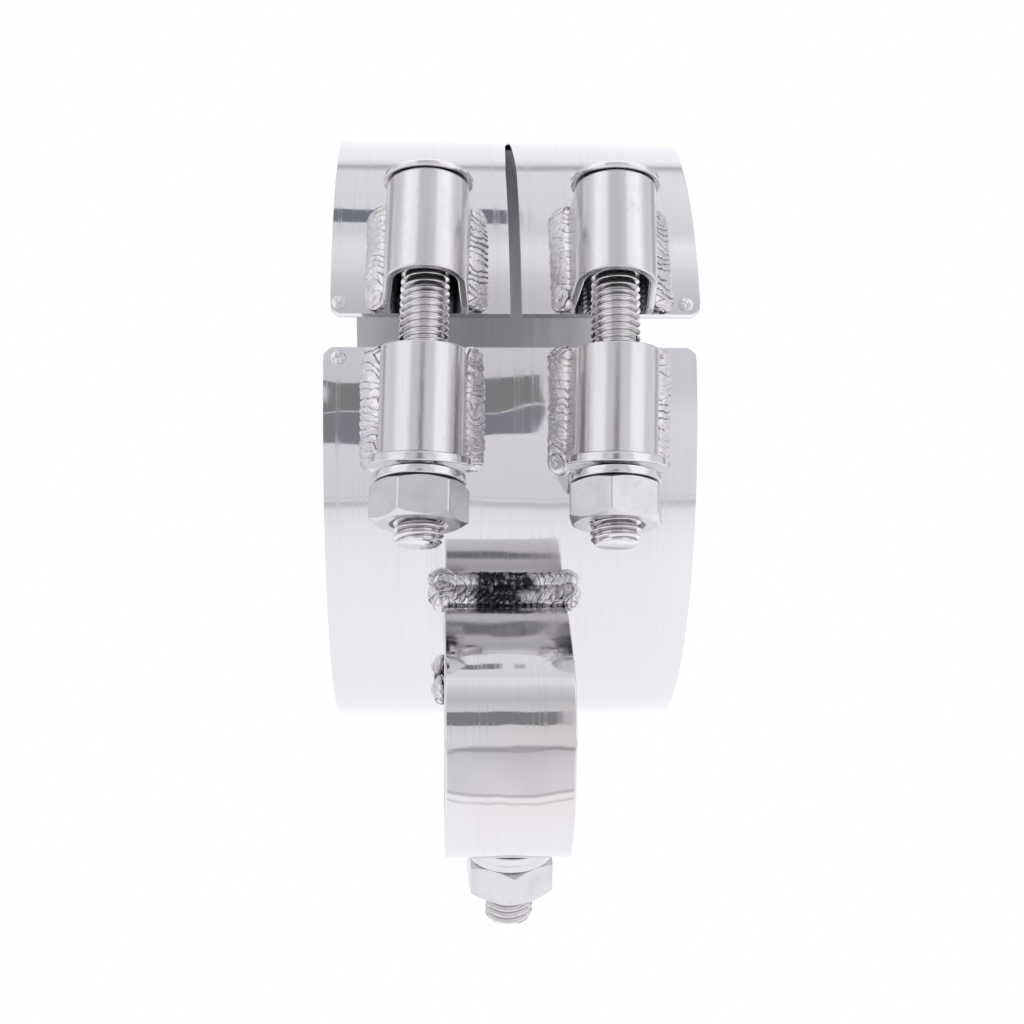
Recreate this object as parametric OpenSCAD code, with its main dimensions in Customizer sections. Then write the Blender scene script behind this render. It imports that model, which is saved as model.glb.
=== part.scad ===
// Wide band exhaust clamp: a slotted stainless band closed by two tangential bolts,
// with four welded U saddles and a small welded hanger loop that carries its own bolt.
// The origin is the middle of the bore. +X runs along the pipe, +Z is up,
// and -Y is the side with the gap and the bolts. Angles on the band start at -Y and grow upwards.

/* [Band] */
// Radius of the bore, with the clamp open as supplied
bore_r = 66.3; // [55:0.1:80]
// Thickness of the band
band_wall = 2.0; // [1.5:0.1:2.6]
// Width of the band along the pipe
band_w = 76; // [70:1:95]
// Angle of the end of the lower half, at the gap
gap_low_angle = 14.3; // [13:0.1:15]
// Angle of the end of the upper half, at the gap
gap_high_angle = 20.4; // [20:0.1:24]
// Radius on the outer corners of the band's two ends
end_corner_r = 2.5; // [1:0.5:5]
// Width of the relief slot between the two upper tongues
slot_w = 2.4; // [1.5:0.1:4]
// Angle at which the slot begins to taper
slot_taper_angle = 56; // [45:1:65]
// Angle at which the slot ends in a point
slot_tip_angle = 90; // [80:1:92]

/* [Clamp bolts] */
// Distance between the two bolts
bolt_spacing = 38; // [34:1:48]
// Sideways offset of the bolt pair from the middle of the band
bolt_offset = 0.95; // [-2:0.05:2]
// Sideways lean of the bolts, in degrees
bolt_lean = 1.35; // [0:0.05:2]
// Height of the bolt axis over the band, at the middle of the gap
bolt_height = 9.5; // [9:0.1:12]
// Distance from the middle of the gap up to the underside of the heads
head_seat = 27.7; // [26:0.1:32]
// Length of the clamp bolts under the head
clamp_bolt_len = 75; // [70:1:85]

/* [Fasteners] */
// Radius of the bolt shanks
bolt_r = 5.0; // [4:0.1:5]
// Radius of the bolt heads
head_r = 9.2; // [8.5:0.1:10]
// Height of the straight rim of a head
head_rim = 1.0; // [0.8:0.1:2]
// Full height of a head
head_h = 3.8; // [3.5:0.1:6]
// Width across flats of the socket in a head
socket_af = 6; // [5:0.5:7]
// Depth of the socket in a head
socket_depth = 2.4; // [2:0.1:3.5]
// Chamfer at the end of a bolt
tip_chamfer = 1.0; // [0.5:0.1:1.5]
// Outer radius of the flat washers
washer_r = 10; // [9:0.5:11]
// Hole radius of the flat washers
washer_hole_r = 5.5; // [5.4:0.05:6]
// Thickness of the flat washers
washer_t = 1.8; // [1.5:0.1:2]
// Outer radius of the spring washers
spring_r = 9.05; // [8.5:0.05:9.5]
// Hole radius of the spring washers
spring_hole_r = 5.3; // [5.2:0.05:5.6]
// Thickness of the spring washers
spring_t = 2.2; // [2:0.1:2.4]
// Width of the split in the spring washers
spring_split = 1.6; // [1:0.1:3]
// Width across flats of the nuts
nut_af = 17; // [16:0.5:18]
// Height of the nuts
nut_h = 8; // [7:0.1:9]
// Radial clearance between a nut and its bolt
nut_clearance = 0.05; // [0.02:0.01:0.1]

/* [Saddles] */
// Outer radius of the saddles' arch
saddle_r = 8.2; // [7.8:0.1:9]
// Thickness of the saddles
saddle_wall = 1.8; // [1.5:0.1:2]
// Length of the saddles
saddle_len = 21.6; // [20:0.1:23]
// Outward splay of the saddles' legs, in degrees
leg_splay = 3.8; // [0:0.1:6]
// Lean of the upper saddles from vertical
upper_saddle_tilt = 22; // [18:0.5:24]
// Lean of the lower saddles from vertical
lower_saddle_tilt = 8.5; // [8:0.5:16]
// Distance from the middle of the gap down to the middle of the flat washers
washer_drop = 30.8; // [29:0.1:34]

/* [Hanger loop] */
// Outer radius of the loop
loop_r = 25; // [22:0.5:30]
// Thickness of the loop's strip
loop_wall = 2.8; // [2:0.1:3]
// Width of the loop's strip
loop_w = 25; // [22:1:32]
// Sideways place of the loop
loop_x = -1.5; // [-10:0.5:10]
// Angle of the loop's middle on the band, below the gap
loop_angle = -40; // [-55:1:-35]
// Lean of the loop's bolt from straight down
loop_bolt_lean = 19; // [0:1:30]
// Sideways place of the loop's bolt
loop_bolt_x = -0.3; // [-4:0.1:4]
// Length of the loop's bolt under the head
loop_bolt_len = 25; // [24:1:30]

/* [Welds] */
// Width and height of the beads along the saddles
bead_size = 4.2; // [3:0.1:4.5]
// Angle from an end of the band to the start of its beads
bead_gap_angle = 0.6; // [0.3:0.1:3]
// Run of a bead past the length of its saddle
bead_overrun = 3.2; // [2:0.1:7]
// Radius of the two beads that hold the loop
loop_bead_r = 3.9; // [3.5:0.1:5.5]
// Reach of the loop's beads past each edge of the strip
loop_bead_overrun = 1.2; // [0:0.1:3]
// Radius of the small tack dots near the band's corners
tack_r = 1.6; // [1:0.1:2.5]
// Distance from the middle of a tack dot to the two nearest edges
tack_inset = 2.4; // [2:0.1:4]
// Height of the tack dots over the band
tack_h = 0.5; // [0.2:0.1:0.8]

/* [Hidden] */
$fn = 96;

// Small gap between faces that rest on each other
seat_gap = 0.02;
// Overshoot that carries a cut past the surface it cuts
over = 1;

// The two sides of the clamp, as signs along X
left = -1;
right = 1;

band_r = bore_r + band_wall;
gap_mid_angle = (gap_low_angle + gap_high_angle) / 2;
bolt_line_r = band_r + bolt_height;

// Lean from the bolt's line of the upper saddles, and of the lower saddles and flat washers
upper_turn = upper_saddle_tilt - gap_mid_angle;
lower_turn = gap_mid_angle - lower_saddle_tilt;
saddle_hole_r = saddle_r - saddle_wall;

// Legs are drawn long enough to run into the band, and then coped to it
leg_len = band_r;

// The stack on a bolt, measured down the bolt from the middle of the gap
spring_top = washer_drop + washer_t / 2 / cos(lower_turn) + spring_r * tan(lower_turn) + seat_gap;
nut_top = spring_top + spring_t + seat_gap;

// A nut's end faces are round, a little smaller than its flats, with a 30 degree chamfer outside
nut_corner_r = nut_af / 2 / cos(30);
nut_face_share = 0.95;
nut_face_r = nut_af / 2 * nut_face_share;
nut_cone_h = (nut_corner_r - nut_face_r) * tan(30);

// The loop hangs tangent to the band, and its bolt runs out through the loop's wall
loop_axis_r = band_r + loop_r + seat_gap;
loop_y = -loop_axis_r * cos(loop_angle);
loop_z = loop_axis_r * sin(loop_angle);
loop_hole_r = loop_r - loop_wall;
loop_head_seat = sqrt(pow(loop_hole_r, 2) - pow(head_r, 2)) - seat_gap;
loop_spring_top = loop_r + seat_gap + washer_t + seat_gap;
loop_nut_top = loop_spring_top + spring_t + seat_gap;

// The two beads lie in the crevices between the loop and the band: how far their middles stand
// off the band, as a share of their radius, and how far round from the loop's middle.
// Their rounded ends are this share of their radius long
loop_bead_lift = 0.74;
loop_bead_angle = 11.4;
loop_bead_end = 0.5;

// Turn of each nut about its bolt, and of the spring washers' splits, in degrees
nut_left_turn = 6;
nut_right_turn = 19;
hanger_nut_turn = 34;
spring_split_turn = 40;

// A tack dot's flat top, and its straight edge, as shares of its radius and height
tack_top = 0.6;
tack_edge = 0.3;

// A cylinder along X, centred on the origin
module x_cylinder(r, len) {
  rotate([0, 90, 0]) cylinder(r = r, h = len, center = true, $fn = 180);
}

// Turns a shape drawn at -Y up the band by an angle
module on_band(angle) {
  rotate([-angle, 0, 0]) children();
}

// The frame of one clamp bolt: the middle of the gap, with +Z up the bolt and -Y outwards
module at_bolt(side) {
  on_band(gap_mid_angle)
    translate([bolt_offset + side * bolt_spacing / 2, -bolt_line_r, 0])
      rotate([0, bolt_lean, 0])
        children();
}

// The frame of the loop's bolt: the loop's middle, with -Z out along the bolt
module at_loop_bolt() {
  translate([loop_bolt_x, loop_y, loop_z]) rotate([loop_bolt_lean, 0, 0]) children();
}

// The band: a tube with its gap and its slot cut out, and round corners at both ends
module band() {
  color("gainsboro")
    difference() {
      x_cylinder(band_r, band_w);
      x_cylinder(bore_r, band_w + 2 * over);
      gap_cut();
      slot_cut();
      for (side = [left, right]) {
        end_corner_cut(gap_low_angle, side, 1);
        end_corner_cut(gap_high_angle, side, -1);
      }
    }
}

// A wedge from the axis that opens the band between its two ends
module gap_cut() {
  reach = band_r + over;
  rotate([90, 0, -90])
    linear_extrude(height = band_w + 2 * over, center = true)
      polygon([
        [0, 0],
        [reach * cos(gap_low_angle), reach * sin(gap_low_angle)],
        [reach * cos(gap_high_angle), reach * sin(gap_high_angle)]
      ]);
}

// The slot runs over the top of the band from its upper end, and ends in a point
module slot_cut() {
  start_y = -(band_r + over);
  taper_y = -band_r * cos(slot_taper_angle);
  tip_y = -band_r * cos(slot_tip_angle);
  translate([0, 0, band_r * sin(gap_mid_angle)])
    linear_extrude(height = band_r)
      polygon([
        [-slot_w / 2, start_y],
        [slot_w / 2, start_y],
        [slot_w / 2, taper_y],
        [0, tip_y],
        [-slot_w / 2, taper_y]
      ]);
}

// Rounds one corner of a band end. inwards is 1 for the lower end and -1 for the upper end
module end_corner_cut(angle, side, inwards) {
  on_band(angle)
    translate([side * band_w / 2, -band_r + band_wall / 2, 0])
      rotate([90, 0, 0])
        linear_extrude(height = band_wall + 2 * over, center = true)
          difference() {
            square(2 * end_corner_r, center = true);
            translate([-side * end_corner_r, -inwards * end_corner_r]) circle(r = end_corner_r);
            translate([-side * end_corner_r, 0])
              square([2 * end_corner_r, 4 * end_corner_r], center = true);
            translate([0, -inwards * 2 * end_corner_r])
              square([4 * end_corner_r, 2 * end_corner_r], center = true);
          }
}

// The outline of a saddle: an arch of radius r on two splayed legs that run towards +Y.
// The legs start just inside the arch, and leave it at its widest point
module saddle_outline(r) {
  start = r * tan(leg_splay);
  circle(r = r);
  polygon([
    [-r + start * tan(leg_splay), -start],
    [r - start * tan(leg_splay), -start],
    [r + leg_len * tan(leg_splay), leg_len],
    [-r - leg_len * tan(leg_splay), leg_len]
  ]);
}

// A saddle of full leg length, with its lower end at the origin
module saddle_blank() {
  linear_extrude(height = saddle_len)
    difference() {
      saddle_outline(saddle_r);
      saddle_outline(saddle_hole_r);
    }
}

// An upper saddle's crest meets the underside of the bolt head
module place_upper_saddle(side) {
  at_bolt(side)
    translate([0, -saddle_r, head_seat - seat_gap])
      rotate([-upper_turn, 0, 0])
        translate([0, saddle_r, -saddle_len])
          children();
}

// The frame of a flat washer, which lies square on the end of its lower saddle
module at_washer(side) {
  at_bolt(side) translate([0, 0, -washer_drop]) rotate([lower_turn, 0, 0]) children();
}

module place_lower_saddle(side) {
  at_washer(side) translate([0, 0, washer_t / 2 + seat_gap]) children();
}

// What a saddle's legs are cut back to: the band's outside, and everything on the far side
module cope() {
  x_cylinder(band_r, 3 * band_w);
  translate([0, band_r, 0]) cube([3 * band_w, 2 * band_r, 4 * band_r], center = true);
}

module saddle_upper(side) {
  color("whitesmoke")
    difference() {
      place_upper_saddle(side) saddle_blank();
      cope();
    }
}

module saddle_lower(side) {
  color("whitesmoke")
    difference() {
      place_lower_saddle(side) saddle_blank();
      cope();
    }
}

// A round head bolt whose head stands on z = 0 and whose shank runs down
module bolt(len) {
  dome_h = head_h - head_rim;
  dome_r = (pow(head_r, 2) + pow(dome_h, 2)) / (2 * dome_h);
  dome_top = head_h - dome_r;
  difference() {
    rotate_extrude()
      intersection() {
        union() {
          polygon([
            [0, 0],
            [0, -len],
            [bolt_r - tip_chamfer, -len],
            [bolt_r, -len + tip_chamfer],
            [bolt_r, 0]
          ]);
          square([head_r, head_rim]);
          intersection() {
            translate([0, dome_top]) circle(r = dome_r);
            translate([0, head_rim]) square([head_r, dome_h + over]);
          }
        }
        translate([0, -len]) square([head_r, len + head_h]);
      }
    translate([0, 0, head_h - socket_depth])
      cylinder(r = socket_af / 2 / cos(30), h = socket_depth + over, $fn = 6);
  }
}

module clamp_bolt(side) {
  color("silver") at_bolt(side) translate([0, 0, head_seat]) bolt(clamp_bolt_len);
}

module washer_ring() {
  difference() {
    cylinder(r = washer_r, h = washer_t, center = true);
    cylinder(r = washer_hole_r, h = washer_t + 2 * over, center = true);
  }
}

module flat_washer(side) {
  color("lightgray") at_washer(side) washer_ring();
}

// A split ring whose top face lies on z = 0
module spring_ring() {
  translate([0, 0, -spring_t])
    difference() {
      cylinder(r = spring_r, h = spring_t);
      translate([0, 0, -over]) cylinder(r = spring_hole_r, h = spring_t + 2 * over);
      rotate([0, 0, spring_split_turn])
        translate([0, -spring_split / 2, -over])
          cube([spring_r + over, spring_split, spring_t + 2 * over]);
    }
}

module spring_washer(side) {
  color("lightgray") at_bolt(side) translate([0, 0, -spring_top]) spring_ring();
}

// A hexagon nut whose top face lies on z = 0, chamfered at both ends
module hex_nut() {
  translate([0, 0, -nut_h])
    difference() {
      intersection() {
        cylinder(r = nut_corner_r, h = nut_h, $fn = 6);
        rotate_extrude()
          polygon([
            [0, 0],
            [nut_face_r, 0],
            [nut_corner_r, nut_cone_h],
            [nut_corner_r, nut_h - nut_cone_h],
            [nut_face_r, nut_h],
            [0, nut_h]
          ]);
      }
      translate([0, 0, -over]) cylinder(r = bolt_r + nut_clearance, h = nut_h + 2 * over);
    }
}

module clamp_nut(side, turn) {
  color("silver") at_bolt(side) translate([0, 0, -nut_top]) rotate([0, 0, turn]) hex_nut();
}

// A short tube of strip welded below the gap, with a hole for its bolt
module hanger_loop() {
  color("whitesmoke")
    difference() {
      translate([loop_x, loop_y, loop_z]) x_cylinder(loop_r, loop_w);
      translate([loop_x, loop_y, loop_z]) x_cylinder(loop_hole_r, loop_w + 2 * over);
      at_loop_bolt() translate([0, 0, -loop_r - over]) cylinder(r = washer_hole_r, h = loop_r);
    }
}

module hanger_bolt() {
  color("silver") at_loop_bolt() translate([0, 0, -loop_head_seat]) bolt(loop_bolt_len);
}

module hanger_flat_washer() {
  color("lightgray")
    at_loop_bolt() translate([0, 0, -loop_r - seat_gap - washer_t / 2]) washer_ring();
}

module hanger_spring_washer() {
  color("lightgray") at_loop_bolt() translate([0, 0, -loop_spring_top]) spring_ring();
}

module hanger_nut() {
  color("silver")
    at_loop_bolt() translate([0, 0, -loop_nut_top]) rotate([0, 0, hanger_nut_turn]) hex_nut();
}

// One bead that follows the band beside a leg, from one angle to another.
// Its section is a quarter disc in the corner between the leg's outer face and the band
module band_bead(x, side, from_angle, to_angle) {
  rotate([0, 90, 0])
    rotate_extrude(angle = to_angle - from_angle, start = -90 - to_angle, $fn = 180)
      translate([band_r, x])
        polygon(concat(
          [[bead_size, -side * bead_size], [0, -side * bead_size]],
          [for (turn = [0:15:90]) [bead_size * sin(turn), side * bead_size * cos(turn)]]
        ));
}

// Half the width of a saddle over its legs, at a depth below the arch's middle
function leg_half(depth) = saddle_r + depth * tan(leg_splay);

// Run of the beads, as angles on the band
bead_span = (saddle_len + bead_overrun) / band_r * 180 / PI;
upper_bead_from = gap_high_angle + bead_gap_angle;
upper_bead_to = upper_bead_from + bead_span;
lower_bead_to = gap_low_angle - bead_gap_angle;
lower_bead_from = lower_bead_to - bead_span;

// Depth from the bolt's axis to the band, at the middle of a saddle
saddle_depth = sqrt(pow(bolt_line_r, 2) + pow(head_seat - saddle_len / 2, 2)) - band_r;

// Sideways place of a bolt at a distance up the bolt from the middle of the gap
function bolt_x(side, up) = bolt_offset + side * bolt_spacing / 2 + up * tan(bolt_lean);

// The two beads of one saddle, whose middle is at x
module saddle_beads(x, from_angle, to_angle) {
  reach = leg_half(saddle_depth);
  for (edge = [left, right])
    band_bead(x + edge * reach, edge, from_angle, to_angle);
}

module welds_upper(side) {
  color("darkgray")
    difference() {
      saddle_beads(bolt_x(side, head_seat - saddle_len / 2), upper_bead_from, upper_bead_to);
      place_upper_saddle(side) saddle_core();
    }
}

module welds_lower(side) {
  color("darkgray")
    difference() {
      saddle_beads(bolt_x(side, -washer_drop + saddle_len / 2), lower_bead_from, lower_bead_to);
      place_lower_saddle(side) saddle_core();
    }
}

// A saddle with no hollow and run on past both ends, which keeps the beads out of its inside
module saddle_core() {
  translate([0, 0, -saddle_len / 2])
    linear_extrude(height = 2 * saddle_len) saddle_outline(saddle_r);
}

// A bead that fills one crevice between the loop and the band
module loop_weld(angle) {
  bead_len = loop_w + 2 * loop_bead_overrun;
  color("darkgray")
    difference() {
      on_band(angle)
        translate([loop_x, -band_r - loop_bead_r * loop_bead_lift, 0]) {
          x_cylinder(loop_bead_r, bead_len);
          for (side = [left, right])
            translate([side * bead_len / 2, 0, 0])
              scale([loop_bead_end, 1, 1]) sphere(r = loop_bead_r, $fn = 48);
        }
      x_cylinder(band_r, band_w);
      translate([loop_x, loop_y, loop_z]) x_cylinder(loop_r, 2 * loop_w);
    }
}

// A low dot of weld on the band, with its axis along the band's radius
module tack(angle, side) {
  on_band(angle)
    translate([side * (band_w / 2 - tack_inset), -band_r, 0])
      rotate([90, 0, 0])
        rotate_extrude()
          polygon([
            [0, 0],
            [tack_r, 0],
            [tack_r, tack_h * tack_edge],
            [tack_r * tack_top, tack_h],
            [0, tack_h]
          ]);
}

module corner_tacks() {
  inset_angle = tack_inset / band_r * 180 / PI;
  color("lightgray") {
    tack(gap_high_angle + inset_angle, left);
    tack(gap_high_angle + inset_angle, right);
    tack(gap_low_angle - inset_angle, left);
  }
}

band();
saddle_upper(left);  // saddle_upper_left
saddle_upper(right);  // saddle_upper_right
saddle_lower(left);  // saddle_lower_left
saddle_lower(right);  // saddle_lower_right
clamp_bolt(left);  // bolt_left
clamp_bolt(right);  // bolt_right
flat_washer(left);  // flat_washer_left
flat_washer(right);  // flat_washer_right
spring_washer(left);  // spring_washer_left
spring_washer(right);  // spring_washer_right
clamp_nut(left, nut_left_turn);  // nut_left
clamp_nut(right, nut_right_turn);  // nut_right
hanger_loop();
hanger_bolt();
hanger_flat_washer();
hanger_spring_washer();
hanger_nut();
welds_upper(left);  // welds_upper_left
welds_upper(right);  // welds_upper_right
welds_lower(left);  // welds_lower_left
welds_lower(right);  // welds_lower_right
loop_weld(loop_angle + loop_bead_angle);  // loop_weld_front
loop_weld(loop_angle - loop_bead_angle);  // loop_weld_back
corner_tacks();
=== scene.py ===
import random
from math import atan2, cos, floor, pi, radians, sin, sqrt, tan

import bmesh
import bpy
from mathutils import Matrix, Vector, noise


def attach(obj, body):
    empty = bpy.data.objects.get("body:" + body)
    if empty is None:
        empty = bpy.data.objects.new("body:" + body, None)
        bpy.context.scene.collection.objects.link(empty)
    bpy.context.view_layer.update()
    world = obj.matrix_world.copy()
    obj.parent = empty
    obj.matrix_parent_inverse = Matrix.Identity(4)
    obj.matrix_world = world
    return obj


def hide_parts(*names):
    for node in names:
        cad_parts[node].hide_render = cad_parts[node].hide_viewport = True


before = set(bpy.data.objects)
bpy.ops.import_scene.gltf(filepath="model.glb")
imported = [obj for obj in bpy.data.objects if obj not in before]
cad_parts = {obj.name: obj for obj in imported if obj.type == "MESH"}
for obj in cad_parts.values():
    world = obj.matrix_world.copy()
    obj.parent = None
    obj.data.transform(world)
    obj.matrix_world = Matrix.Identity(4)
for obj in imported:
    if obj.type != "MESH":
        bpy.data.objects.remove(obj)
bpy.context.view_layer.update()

# A wide band exhaust clamp in polished stainless steel, seen from the side of its gap.
# +X runs along the pipe, +Z is up and -Y faces the camera, as in the frame.
mm = 0.001
left, right = -1, 1
sides = ((left, "left"), (right, "right"))
mergeDistance = 1e-6    # points nearer to each other than this become one


# Small tools for modelling

def deselectAll():
    if bpy.context.object and bpy.context.object.mode != "OBJECT":
        bpy.ops.object.mode_set(mode="OBJECT")
    bpy.ops.object.select_all(action="DESELECT")


def makeActive(piece):
    deselectAll()
    piece.select_set(True)
    bpy.context.view_layer.objects.active = piece


def nameNew(name):
    piece = bpy.context.object
    piece.name = piece.data.name = name
    return piece


def openMesh(piece):
    makeActive(piece)
    bpy.ops.object.mode_set(mode="EDIT")
    bpy.ops.mesh.select_all(action="SELECT")


def closeMesh():
    bpy.ops.object.mode_set(mode="OBJECT")


# Merges the open mesh's doubles where asked to, turns its faces outwards and closes it
def cleanMesh(merge=True):
    bpy.ops.mesh.select_all(action="SELECT")
    if merge:
        bpy.ops.mesh.remove_doubles(threshold=mergeDistance)
    bpy.ops.mesh.normals_make_consistent(inside=False)
    closeMesh()


def pickOpenEdges():
    bpy.ops.mesh.select_mode(type="EDGE")
    bpy.ops.mesh.select_all(action="DESELECT")
    bpy.ops.mesh.select_non_manifold(extend=False)


# Selects the faces or verts whose middle passes the test
def pick(piece, kind, test):
    bpy.ops.mesh.select_mode(type={"faces": "FACE", "verts": "VERT"}[kind])
    bpy.ops.mesh.select_all(action="DESELECT")
    shape = bmesh.from_edit_mesh(piece.data)
    for part in getattr(shape, kind):
        middle = part.co if kind == "verts" else sum((v.co for v in part.verts), Vector()) / len(part.verts)
        if test(middle, part):
            part.select_set(True)
    shape.select_flush_mode()
    bmesh.update_edit_mesh(piece.data)


def modify(piece, kind, **settings):
    makeActive(piece)
    step = piece.modifiers.new(kind.title(), kind)
    for key, value in settings.items():
        setattr(step, key, value)
    bpy.ops.object.modifier_apply(modifier=step.name)


def roundEdges(piece, width, segments=3, angle=35):
    modify(piece, "BEVEL", width=width, segments=segments, limit_method="ANGLE", angle_limit=radians(angle))


def shadeSmooth(piece, angle=50):
    makeActive(piece)
    bpy.ops.object.shade_smooth_by_angle(angle=radians(angle))
    modify(piece, "WEIGHTED_NORMAL", keep_sharp=True, weight=50)


def place(piece, matrix):
    makeActive(piece)
    piece.matrix_world = matrix
    bpy.ops.object.transform_apply(location=True, rotation=True, scale=True)


# A prism, or with many sides a drum, to cut with
def cutTool(name, sideCount, radius, depth, at):
    deselectAll()
    bpy.ops.mesh.primitive_cylinder_add(vertices=sideCount, radius=radius, depth=depth)
    tool = nameNew(name)
    place(tool, at)
    return tool


def combine(piece, other, operation="DIFFERENCE"):
    modify(piece, "BOOLEAN", object=other, operation=operation, solver="EXACT")
    bpy.data.objects.remove(other)


def duplicate(piece, name):
    makeActive(piece)
    bpy.ops.object.duplicate(linked=False)
    return nameNew(name)


def joinAll(pieces, name):
    deselectAll()
    for piece in pieces:
        piece.select_set(True)
    bpy.context.view_layer.objects.active = pieces[0]
    bpy.ops.object.join()
    return nameNew(name)


# A line drawn by extruding one point to the next
def drawLine(name, points, closed=False):
    deselectAll()
    bpy.ops.mesh.primitive_plane_add(size=mm)
    piece = nameNew(name)
    openMesh(piece)
    bpy.ops.mesh.select_mode(type="VERT")
    bpy.ops.mesh.merge(type="CENTER")
    bpy.ops.transform.translate(value=Vector(points[0]))
    for here, there in zip(points, points[1:]):
        bpy.ops.mesh.extrude_vertices_move(TRANSFORM_OT_translate={"value": Vector(there) - Vector(here)})
    if closed:
        ends = (Vector(points[0]), Vector(points[-1]))
        pick(piece, "verts", lambda at, v: min((at - end).length for end in ends) < mergeDistance / 10)
        bpy.ops.mesh.edge_face_add()
    closeMesh()
    return piece


# Turns a profile of (radius, height) points about Z
def lathe(name, profile, steps=96):
    piece = drawLine(name, [(r, 0, z) for r, z in profile], closed=profile[0][0] > 0)
    openMesh(piece)
    bpy.ops.mesh.spin(steps=steps, angle=2 * pi, center=(0, 0, 0), axis=(0, 0, 1))
    cleanMesh()
    return piece


def turnX(degrees):
    return Matrix.Rotation(radians(degrees), 4, "X")


def turnY(degrees):
    return Matrix.Rotation(radians(degrees), 4, "Y")


def turnZ(degrees):
    return Matrix.Rotation(radians(degrees), 4, "Z")


def shift(x, y, z):
    return Matrix.Translation((x, y, z))


# Shader tools

# Wraps a node's output, so that sums on it read as plain Python
class Link:
    def __init__(self, graph, socket):
        self.graph, self.socket = graph, socket

    def math(self, operation, a, b=None):
        inputs = {0: a} if b is None else {0: a, 1: b}
        return self.graph.add("ShaderNodeMath", {"operation": operation}, inputs)

    def __add__(self, other):
        return self.math("ADD", self, other)

    def __radd__(self, other):
        return self.math("ADD", other, self)

    def __sub__(self, other):
        return self.math("SUBTRACT", self, other)

    def __rsub__(self, other):
        return self.math("SUBTRACT", other, self)

    def __mul__(self, other):
        return self.math("MULTIPLY", self, other)

    def __rmul__(self, other):
        return self.math("MULTIPLY", other, self)

    def __truediv__(self, other):
        return self.math("DIVIDE", self, other)

    def __abs__(self):
        return self.math("ABSOLUTE", self)

    # 0 below low, 1 above high and smooth between; the other way round if low is the larger
    def step(self, low, high):
        settings = {"interpolation_type": "SMOOTHSTEP"}
        inputs = {"Value": self, "From Min": low, "From Max": high}
        return self.graph.add("ShaderNodeMapRange", settings, inputs)


class Graph:
    def __init__(self, tree):
        self.tree = tree
        tree.nodes.clear()

    # Any node: its type, its settings, then the values or links of its sockets
    def add(self, kind, settings=None, inputs=None, output=0):
        node = self.tree.nodes.new(kind)
        for key, value in (settings or {}).items():
            if key == "stops":
                ramp = node.color_ramp
                while len(ramp.elements) < len(value):
                    ramp.elements.new(0.5)
                for element, (at, shade) in zip(ramp.elements, value):
                    element.position = at
                    element.color = (*shade, 1) if isinstance(shade, tuple) else (shade, shade, shade, 1)
            else:
                setattr(node, key, value)
        for key, value in (inputs or {}).items():
            if isinstance(value, Link):
                self.tree.links.new(value.socket, node.inputs[key])
            elif isinstance(value, tuple) and len(value) == 3 and node.inputs[key].type == "RGBA":
                node.inputs[key].default_value = (*value, 1)
            else:
                node.inputs[key].default_value = value
        return Link(self, node.outputs[output])

    def mix(self, share, first, second):
        return self.add("ShaderNodeMix", {"data_type": "RGBA"}, {0: share, 6: first, 7: second}, 2)

    def noise(self, scale, detail=3.0, at=None, roughness=0.5):
        inputs = {"Scale": scale, "Detail": detail, "Roughness": roughness}
        inputs["Vector"] = at or self.objectPoint()
        return self.add("ShaderNodeTexNoise", None, inputs)

    def objectPoint(self):
        return self.add("ShaderNodeTexCoord", None, None, "Object")

    def stretched(self, scale):
        return self.add("ShaderNodeMapping", None, {"Vector": self.objectPoint(), "Scale": scale})

    def axis(self, which):
        return self.add("ShaderNodeSeparateXYZ", None, {"Vector": self.objectPoint()}, which)

    def finish(self, shader, kind="ShaderNodeOutputMaterial"):
        output = self.tree.nodes.new(kind)
        self.tree.links.new(shader.socket, output.inputs["Surface"])


def newMaterial(name):
    material = bpy.data.materials.new(name)
    material.use_nodes = True
    return material, Graph(material.node_tree)


def finishMetal(graph, colour, roughness, normal):
    inputs = {"Base Color": colour, "Roughness": roughness, "Metallic": 1.0, "Normal": normal}
    graph.finish(graph.add("ShaderNodeBsdfPrincipled", None, inputs))


def bump(graph, height, distance):
    return graph.add("ShaderNodeBump", None, {"Height": height, "Distance": distance})


# Distance from a line along X
def aroundX(graph, middleY=0, middleZ=0):
    y, z = graph.axis("Y") - middleY, graph.axis("Z") - middleZ
    return graph.add("ShaderNodeMath", {"operation": "SQRT"}, {0: y * y + z * z})


# Where things are, with the same sizes as the CAD source

bandSizes = {
    "boreRadius": 66.3 * mm,
    "wall": 2 * mm,
    "width": 76 * mm,
    "lowEnd": 14.3,         # angles are in degrees, from -Y upwards
    "highEnd": 20.4,
    "cornerRadius": 2.5 * mm,
    "cornerCuts": (9, 27, 45, 63, 81),
    "slotWidth": 2.4 * mm,
    "slotTaper": 56,
    "slotTip": 90,
    "stagger": 1.24 * mm,   # how far the upper end has crept sideways in the rolling
    "edgeRound": 0.28 * mm,
    "cells": 300,
    "cutReach": 9 * mm,     # faces further off than this aren't cut
}
bandRadius = bandSizes["boreRadius"] + bandSizes["wall"]
gapMiddle = (bandSizes["lowEnd"] + bandSizes["highEnd"]) / 2

boltSizes = {
    "spacing": 38 * mm,
    "offset": 0.95 * mm,
    "lean": 1.35,               # in degrees, to the side
    "height": 9.5 * mm,         # of their line over the band
    "headSeat": 27.7 * mm,
    "washerDrop": 30.8 * mm,
}
boltLine = bandRadius + boltSizes["height"]

saddleSizes = {
    "radius": 8.2 * mm,
    "wall": 1.8 * mm,
    "length": 21.6 * mm,
    "splay": 3.8,
    "legLength": 24 * mm,   # before its foot is cut to the band
    "archSteps": 44,
    "cutter": 110 * mm,     # length of the drum that cuts the feet
    "upperTilt": 22,
    "lowerTilt": 8.5,
    "edgeRound": 0.42 * mm,
}

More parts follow.
